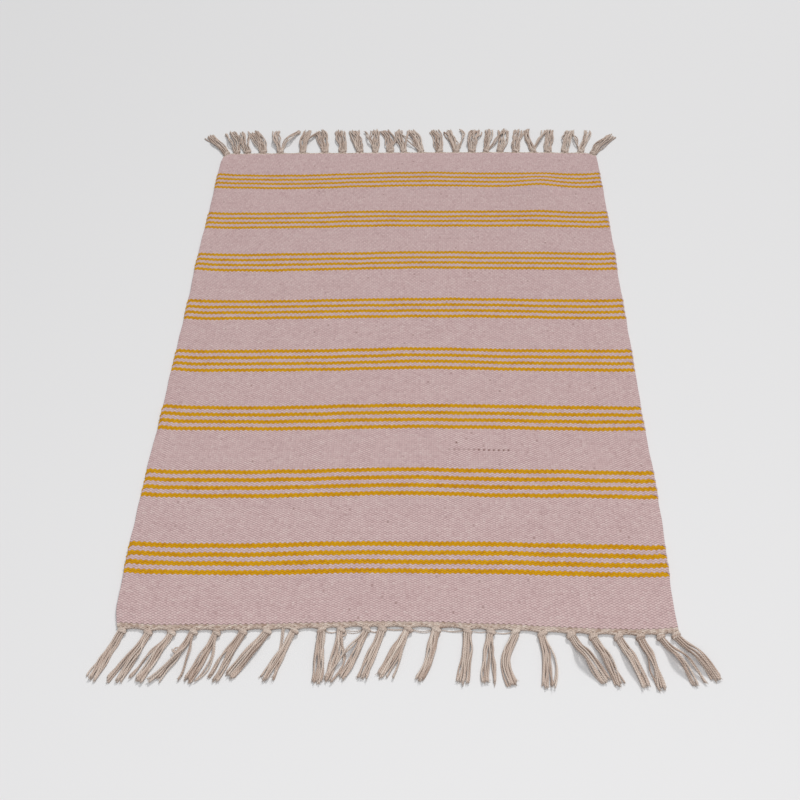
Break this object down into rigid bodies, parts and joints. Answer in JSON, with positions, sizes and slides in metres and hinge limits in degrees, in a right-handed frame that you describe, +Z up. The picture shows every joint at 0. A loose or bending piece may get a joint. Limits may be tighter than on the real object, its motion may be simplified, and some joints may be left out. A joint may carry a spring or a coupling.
{
  "type": "bath mat",
  "caption": "Flat-woven rectangular cotton mat with bands of thin stripes across it and a row of knotted tassels along each short end; it folds in half.",
  "frame": {"origin": "middle of the underside, on the line of the centre fold", "axes": "+X across the mat to the right-hand selvedge, +Y along the warp from the near end to the far end, +Z up out of the top face"},
  "size_m": [0.6718, 1.0436, 0.0074],
  "materials": {
    "pink_cotton": "matt weft-faced plain weave of dusty pink cotton with pale flecks",
    "yellow_cotton": "matt weft-faced plain weave of mustard yellow cotton",
    "natural_cotton": "matt undyed plied cotton yarn"
  },
  "bodies": {
    "near_half": {"near_warp": "natural_cotton", "near_weft": "pink_cotton", "stripe_band_1": "yellow_cotton", "stripe_band_2": "yellow_cotton", "stripe_band_3": "yellow_cotton", "stripe_band_4": "yellow_cotton"},
    "far_half": {"far_warp": "natural_cotton", "far_weft": "pink_cotton", "stripe_band_5": "yellow_cotton", "stripe_band_6": "yellow_cotton", "stripe_band_7": "yellow_cotton", "stripe_band_8": "yellow_cotton"},
    "near_tassel_01": {"near_tassel_01": "natural_cotton"},
    "near_tassel_02": {"near_tassel_02": "natural_cotton"},
    "near_tassel_03": {"near_tassel_03": "natural_cotton"},
    "near_tassel_04": {"near_tassel_04": "natural_cotton"},
    "near_tassel_05": {"near_tassel_05": "natural_cotton"},
    "near_tassel_06": {"near_tassel_06": "natural_cotton"},
    "near_tassel_07": {"near_tassel_07": "natural_cotton"},
    "near_tassel_08": {"near_tassel_08": "natural_cotton"},
    "near_tassel_09": {"near_tassel_09": "natural_cotton"},
    "near_tassel_10": {"near_tassel_10": "natural_cotton"},
    "near_tassel_11": {"near_tassel_11": "natural_cotton"},
    "near_tassel_12": {"near_tassel_12": "natural_cotton"},
    "near_tassel_13": {"near_tassel_13": "natural_cotton"},
    "near_tassel_14": {"near_tassel_14": "natural_cotton"},
    "near_tassel_15": {"near_tassel_15": "natural_cotton"},
    "near_tassel_16": {"near_tassel_16": "natural_cotton"},
    "near_tassel_17": {"near_tassel_17": "natural_cotton"},
    "near_tassel_18": {"near_tassel_18": "natural_cotton"},
    "near_tassel_19": {"near_tassel_19": "natural_cotton"},
    "near_tassel_20": {"near_tassel_20": "natural_cotton"},
    "near_tassel_21": {"near_tassel_21": "natural_cotton"},
    "near_tassel_22": {"near_tassel_22": "natural_cotton"},
    "near_tassel_23": {"near_tassel_23": "natural_cotton"},
    "near_tassel_24": {"near_tassel_24": "natural_cotton"},
    "far_tassel_01": {"far_tassel_01": "natural_cotton"},
    "far_tassel_02": {"far_tassel_02": "natural_cotton"},
    "far_tassel_03": {"far_tassel_03": "natural_cotton"},
    "far_tassel_04": {"far_tassel_04": "natural_cotton"},
    "far_tassel_05": {"far_tassel_05": "natural_cotton"},
    "far_tassel_06": {"far_tassel_06": "natural_cotton"},
    "far_tassel_07": {"far_tassel_07": "natural_cotton"},
    "far_tassel_08": {"far_tassel_08": "natural_cotton"},
    "far_tassel_09": {"far_tassel_09": "natural_cotton"},
    "far_tassel_10": {"far_tassel_10": "natural_cotton"},
    "far_tassel_11": {"far_tassel_11": "natural_cotton"},
    "far_tassel_12": {"far_tassel_12": "natural_cotton"},
    "far_tassel_13": {"far_tassel_13": "natural_cotton"},
    "far_tassel_14": {"far_tassel_14": "natural_cotton"},
    "far_tassel_15": {"far_tassel_15": "natural_cotton"},
    "far_tassel_16": {"far_tassel_16": "natural_cotton"},
    "far_tassel_17": {"far_tassel_17": "natural_cotton"},
    "far_tassel_18": {"far_tassel_18": "natural_cotton"},
    "far_tassel_19": {"far_tassel_19": "natural_cotton"},
    "far_tassel_20": {"far_tassel_20": "natural_cotton"},
    "far_tassel_21": {"far_tassel_21": "natural_cotton"},
    "far_tassel_22": {"far_tassel_22": "natural_cotton"},
    "far_tassel_23": {"far_tassel_23": "natural_cotton"},
    "far_tassel_24": {"far_tassel_24": "natural_cotton"}
  },
  "joints": [
    {"name": "centre_fold", "type": "hinge", "parent": "near_half", "child": "far_half", "pos_m": [0, 0, 0.0042], "axis": [-1, 0, 0], "range_deg": [-178, 0]},
    {"name": "near_tassel_01_lift", "type": "hinge", "parent": "near_half", "child": "near_tassel_01", "pos_m": [-0.291, -0.45, 0.004], "axis": [-1, 0, 0], "range_deg": [0, 145]},
    {"name": "near_tassel_02_lift", "type": "hinge", "parent": "near_half", "child": "near_tassel_02", "pos_m": [-0.265, -0.45, 0.004], "axis": [-1, 0, 0], "range_deg": [0, 145]},
    {"name": "near_tassel_03_lift", "type": "hinge", "parent": "near_half", "child": "near_tassel_03", "pos_m": [-0.24, -0.45, 0.004], "axis": [-1, 0, 0], "range_deg": [0, 145]},
    {"name": "near_tassel_04_lift", "type": "hinge", "parent": "near_half", "child": "near_tassel_04", "pos_m": [-0.216, -0.45, 0.004], "axis": [-1, 0, 0], "range_deg": [0, 145]},
    {"name": "near_tassel_05_lift", "type": "hinge", "parent": "near_half", "child": "near_tassel_05", "pos_m": [-0.191, -0.45, 0.004], "axis": [-1, 0, 0], "range_deg": [0, 145]},
    {"name": "near_tassel_06_lift", "type": "hinge", "parent": "near_half", "child": "near_tassel_06", "pos_m": [-0.163, -0.45, 0.004], "axis": [-1, 0, 0], "range_deg": [0, 145]},
    {"name": "near_tassel_07_lift", "type": "hinge", "parent": "near_half", "child": "near_tassel_07", "pos_m": [-0.137, -0.45, 0.004], "axis": [-1, 0, 0], "range_deg": [0, 145]},
    {"name": "near_tassel_08_lift", "type": "hinge", "parent": "near_half", "child": "near_tassel_08", "pos_m": [-0.108, -0.45, 0.004], "axis": [-1, 0, 0], "range_deg": [0, 145]},
    {"name": "near_tassel_09_lift", "type": "hinge", "parent": "near_half", "child": "near_tassel_09", "pos_m": [-0.079, -0.45, 0.004], "axis": [-1, 0, 0], "range_deg": [0, 145]},
    {"name": "near_tassel_10_lift", "type": "hinge", "parent": "near_half", "child": "near_tassel_10", "pos_m": [-0.058, -0.45, 0.004], "axis": [-1, 0, 0], "range_deg": [0, 145]},
    {"name": "near_tassel_11_lift", "type": "hinge", "parent": "near_half", "child": "near_tassel_11", "pos_m": [-0.031, -0.45, 0.004], "axis": [-1, 0, 0], "range_deg": [0, 145]},
    {"name": "near_tassel_12_lift", "type": "hinge", "parent": "near_half", "child": "near_tassel_12", "pos_m": [-0.014, -0.45, 0.004], "axis": [-1, 0, 0], "range_deg": [0, 145]},
    {"name": "near_tassel_13_lift", "type": "hinge", "parent": "near_half", "child": "near_tassel_13", "pos_m": [0.014, -0.45, 0.004], "axis": [-1, 0, 0], "range_deg": [0, 145]},
    {"name": "near_tassel_14_lift", "type": "hinge", "parent": "near_half", "child": "near_tassel_14", "pos_m": [0.044, -0.45, 0.004], "axis": [-1, 0, 0], "range_deg": [0, 145]},
    {"name": "near_tassel_15_lift", "type": "hinge", "parent": "near_half", "child": "near_tassel_15", "pos_m": [0.077, -0.45, 0.004], "axis": [-1, 0, 0], "range_deg": [0, 145]},
    {"name": "near_tassel_16_lift", "type": "hinge", "parent": "near_half", "child": "near_tassel_16", "pos_m": [0.102, -0.45, 0.004], "axis": [-1, 0, 0], "range_deg": [0, 145]},
    {"name": "near_tassel_17_lift", "type": "hinge", "parent": "near_half", "child": "near_tassel_17", "pos_m": [0.128, -0.45, 0.004], "axis": [-1, 0, 0], "range_deg": [0, 145]},
    {"name": "near_tassel_18_lift", "type": "hinge", "parent": "near_half", "child": "near_tassel_18", "pos_m": [0.156, -0.45, 0.004], "axis": [-1, 0, 0], "range_deg": [0, 145]},
    {"name": "near_tassel_19_lift", "type": "hinge", "parent": "near_half", "child": "near_tassel_19", "pos_m": [0.187, -0.45, 0.004], "axis": [-1, 0, 0], "range_deg": [0, 145]},
    {"name": "near_tassel_20_lift", "type": "hinge", "parent": "near_half", "child": "near_tassel_20", "pos_m": [0.21, -0.45, 0.004], "axis": [-1, 0, 0], "range_deg": [0, 145]},
    {"name": "near_tassel_21_lift", "type": "hinge", "parent": "near_half", "child": "near_tassel_21", "pos_m": [0.236, -0.45, 0.004], "axis": [-1, 0, 0], "range_deg": [0, 145]},
    {"name": "near_tassel_22_lift", "type": "hinge", "parent": "near_half", "child": "near_tassel_22", "pos_m": [0.26, -0.45, 0.004], "axis": [-1, 0, 0], "range_deg": [0, 145]},
    {"name": "near_tassel_23_lift", "type": "hinge", "parent": "near_half", "child": "near_tassel_23", "pos_m": [0.281, -0.45, 0.004], "axis": [-1, 0, 0], "range_deg": [0, 145]},
    {"name": "near_tassel_24_lift", "type": "hinge", "parent": "near_half", "child": "near_tassel_24", "pos_m": [0.295, -0.45, 0.004], "axis": [-1, 0, 0], "range_deg": [0, 145]},
    {"name": "far_tassel_01_lift", "type": "hinge", "parent": "far_half", "child": "far_tassel_01", "pos_m": [-0.295, 0.45, 0.004], "axis": [1, 0, 0], "range_deg": [0, 145]},
    {"name": "far_tassel_02_lift", "type": "hinge", "parent": "far_half", "child": "far_tassel_02", "pos_m": [-0.279, 0.45, 0.004], "axis": [1, 0, 0], "range_deg": [0, 145]},
    {"name": "far_tassel_03_lift", "type": "hinge", "parent": "far_half", "child": "far_tassel_03", "pos_m": [-0.262, 0.45, 0.004], "axis": [1, 0, 0], "range_deg": [0, 145]},
    {"name": "far_tassel_04_lift", "type": "hinge", "parent": "far_half", "child": "far_tassel_04", "pos_m": [-0.236, 0.45, 0.004], "axis": [1, 0, 0], "range_deg": [0, 145]},
    {"name": "far_tassel_05_lift", "type": "hinge", "parent": "far_half", "child": "far_tassel_05", "pos_m": [-0.208, 0.45, 0.004], "axis": [1, 0, 0], "range_deg": [0, 145]},
    {"name": "far_tassel_06_lift", "type": "hinge", "parent": "far_half", "child": "far_tassel_06", "pos_m": [-0.172, 0.45, 0.004], "axis": [1, 0, 0], "range_deg": [0, 145]},
    {"name": "far_tassel_07_lift", "type": "hinge", "parent": "far_half", "child": "far_tassel_07", "pos_m": [-0.136, 0.45, 0.004], "axis": [1, 0, 0], "range_deg": [0, 145]},
    {"name": "far_tassel_08_lift", "type": "hinge", "parent": "far_half", "child": "far_tassel_08", "pos_m": [-0.108, 0.45, 0.004], "axis": [1, 0, 0], "range_deg": [0, 145]},
    {"name": "far_tassel_09_lift", "type": "hinge", "parent": "far_half", "child": "far_tassel_09", "pos_m": [-0.079, 0.45, 0.004], "axis": [1, 0, 0], "range_deg": [0, 145]},
    {"name": "far_tassel_10_lift", "type": "hinge", "parent": "far_half", "child": "far_tassel_10", "pos_m": [-0.056, 0.45, 0.004], "axis": [1, 0, 0], "range_deg": [0, 145]},
    {"name": "far_tassel_11_lift", "type": "hinge", "parent": "far_half", "child": "far_tassel_11", "pos_m": [-0.03, 0.45, 0.004], "axis": [1, 0, 0], "range_deg": [0, 145]},
    {"name": "far_tassel_12_lift", "type": "hinge", "parent": "far_half", "child": "far_tassel_12", "pos_m": [-0.008, 0.45, 0.004], "axis": [1, 0, 0], "range_deg": [0, 145]},
    {"name": "far_tassel_13_lift", "type": "hinge", "parent": "far_half", "child": "far_tassel_13", "pos_m": [0.019, 0.45, 0.004], "axis": [1, 0, 0], "range_deg": [0, 145]},
    {"name": "far_tassel_14_lift", "type": "hinge", "parent": "far_half", "child": "far_tassel_14", "pos_m": [0.049, 0.45, 0.004], "axis": [1, 0, 0], "range_deg": [0, 145]},
    {"name": "far_tassel_15_lift", "type": "hinge", "parent": "far_half", "child": "far_tassel_15", "pos_m": [0.077, 0.45, 0.004], "axis": [1, 0, 0], "range_deg": [0, 145]},
    {"name": "far_tassel_16_lift", "type": "hinge", "parent": "far_half", "child": "far_tassel_16", "pos_m": [0.101, 0.45, 0.004], "axis": [1, 0, 0], "range_deg": [0, 145]},
    {"name": "far_tassel_17_lift", "type": "hinge", "parent": "far_half", "child": "far_tassel_17", "pos_m": [0.124, 0.45, 0.004], "axis": [1, 0, 0], "range_deg": [0, 145]},
    {"name": "far_tassel_18_lift", "type": "hinge", "parent": "far_half", "child": "far_tassel_18", "pos_m": [0.146, 0.45, 0.004], "axis": [1, 0, 0], "range_deg": [0, 145]},
    {"name": "far_tassel_19_lift", "type": "hinge", "parent": "far_half", "child": "far_tassel_19", "pos_m": [0.172, 0.45, 0.004], "axis": [1, 0, 0], "range_deg": [0, 145]},
    {"name": "far_tassel_20_lift", "type": "hinge", "parent": "far_half", "child": "far_tassel_20", "pos_m": [0.201, 0.45, 0.004], "axis": [1, 0, 0], "range_deg": [0, 145]},
    {"name": "far_tassel_21_lift", "type": "hinge", "parent": "far_half", "child": "far_tassel_21", "pos_m": [0.224, 0.45, 0.004], "axis": [1, 0, 0], "range_deg": [0, 145]},
    {"name": "far_tassel_22_lift", "type": "hinge", "parent": "far_half", "child": "far_tassel_22", "pos_m": [0.25, 0.45, 0.004], "axis": [1, 0, 0], "range_deg": [0, 145]},
    {"name": "far_tassel_23_lift", "type": "hinge", "parent": "far_half", "child": "far_tassel_23", "pos_m": [0.275, 0.45, 0.004], "axis": [1, 0, 0], "range_deg": [0, 145]},
    {"name": "far_tassel_24_lift", "type": "hinge", "parent": "far_half", "child": "far_tassel_24", "pos_m": [0.295, 0.45, 0.004], "axis": [1, 0, 0], "range_deg": [0, 145]}
  ]
}
